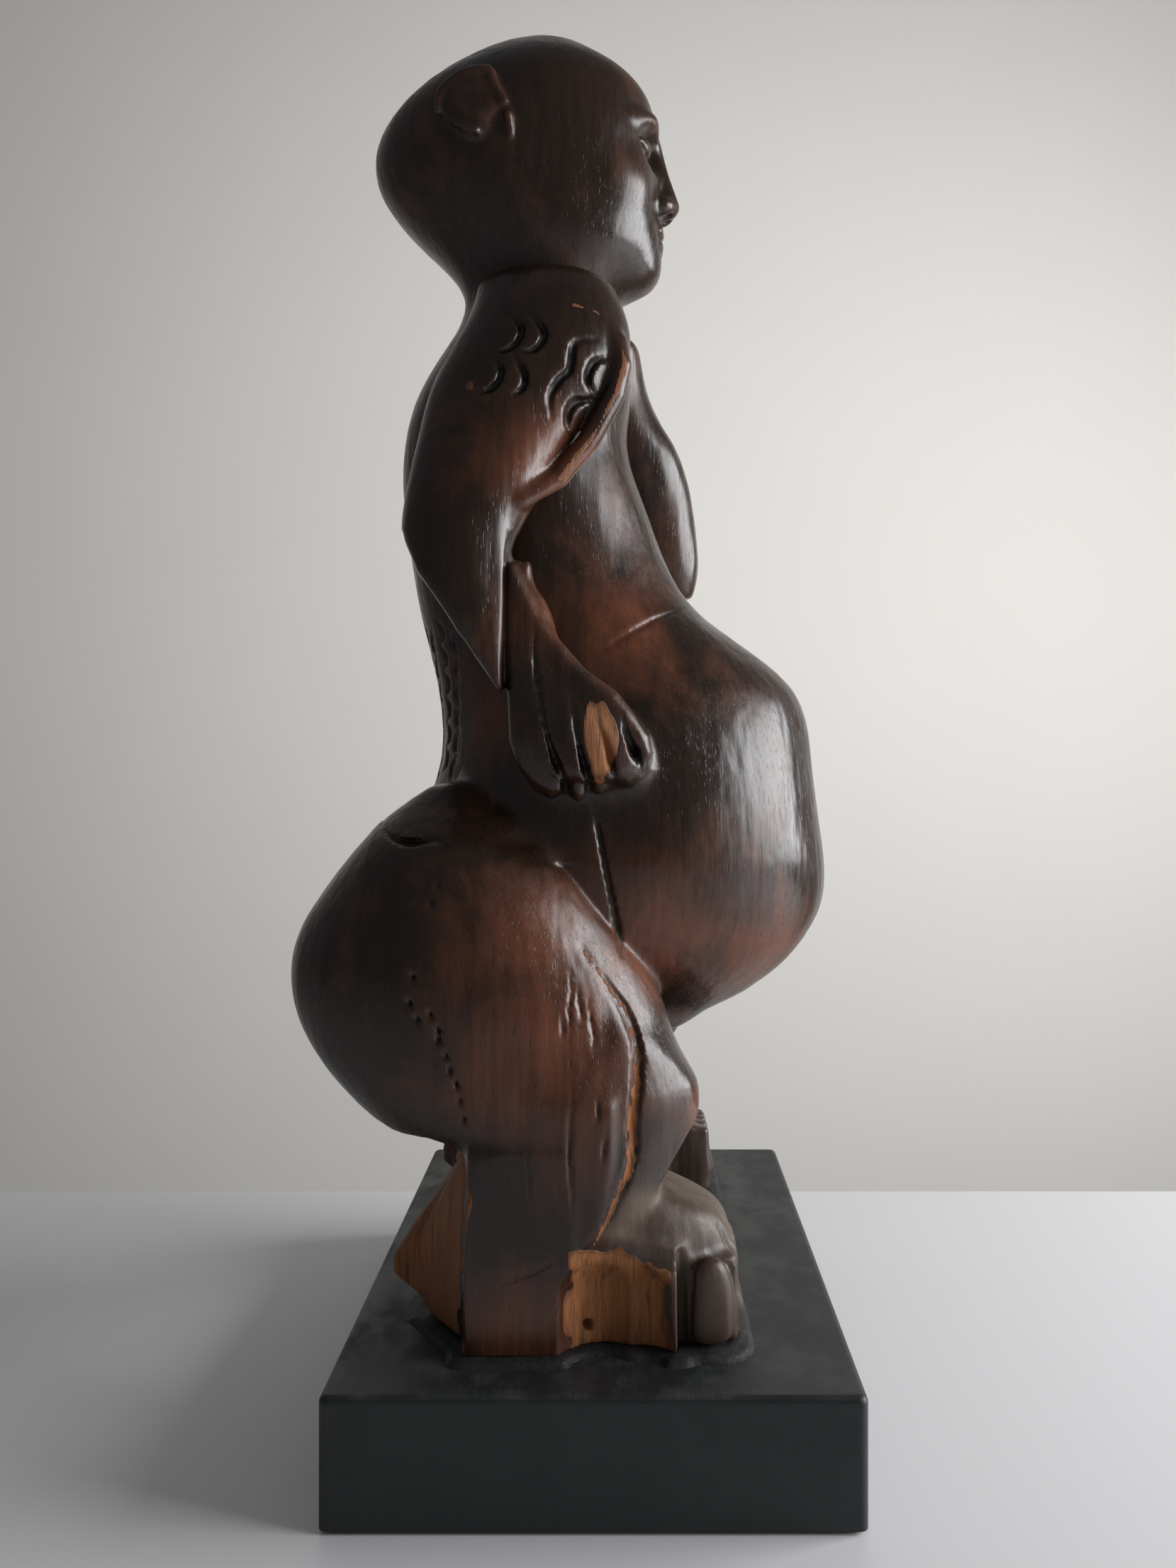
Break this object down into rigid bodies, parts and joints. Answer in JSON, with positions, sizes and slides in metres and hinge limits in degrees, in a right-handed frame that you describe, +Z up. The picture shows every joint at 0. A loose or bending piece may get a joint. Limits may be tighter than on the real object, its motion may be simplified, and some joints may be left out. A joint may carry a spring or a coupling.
{
  "type": "carved figure on plinth",
  "caption": "Squatting carved hardwood ancestor figure with a swelling belly and hands at its flanks, dark polished patina, fixed on a black painted block plinth.",
  "frame": {"origin": "centre of the felt's underside, on the surface that the object stands on", "axes": "+X the way the figure faces, +Y the figure's own left, +Z up"},
  "size_m": [0.2343, 0.278, 0.6165],
  "materials": {
    "patinated_wood": "dark oiled patina, semi-gloss",
    "black_paint": "matt black paint on a planed board",
    "bed_filler": "hard filler painted matt black",
    "red_felt": "dense red felt",
    "screw_steel": "yellow passivated steel",
    "washer_steel": "bright plated steel"
  },
  "bodies": {
    "root": {"carved_figure": "patinated_wood", "plinth": "black_paint", "felt_sheet": "red_felt", "foot_bed_right": "bed_filler", "foot_bed_left": "bed_filler", "mounting_screw_right_heel": "screw_steel", "mounting_screw_right_toe": "screw_steel", "mounting_screw_left_heel": "screw_steel", "mounting_screw_left_toe": "screw_steel", "washer_right_heel": "washer_steel", "washer_right_toe": "washer_steel", "washer_left_heel": "washer_steel", "washer_left_toe": "washer_steel"}
  },
  "joints": []
}
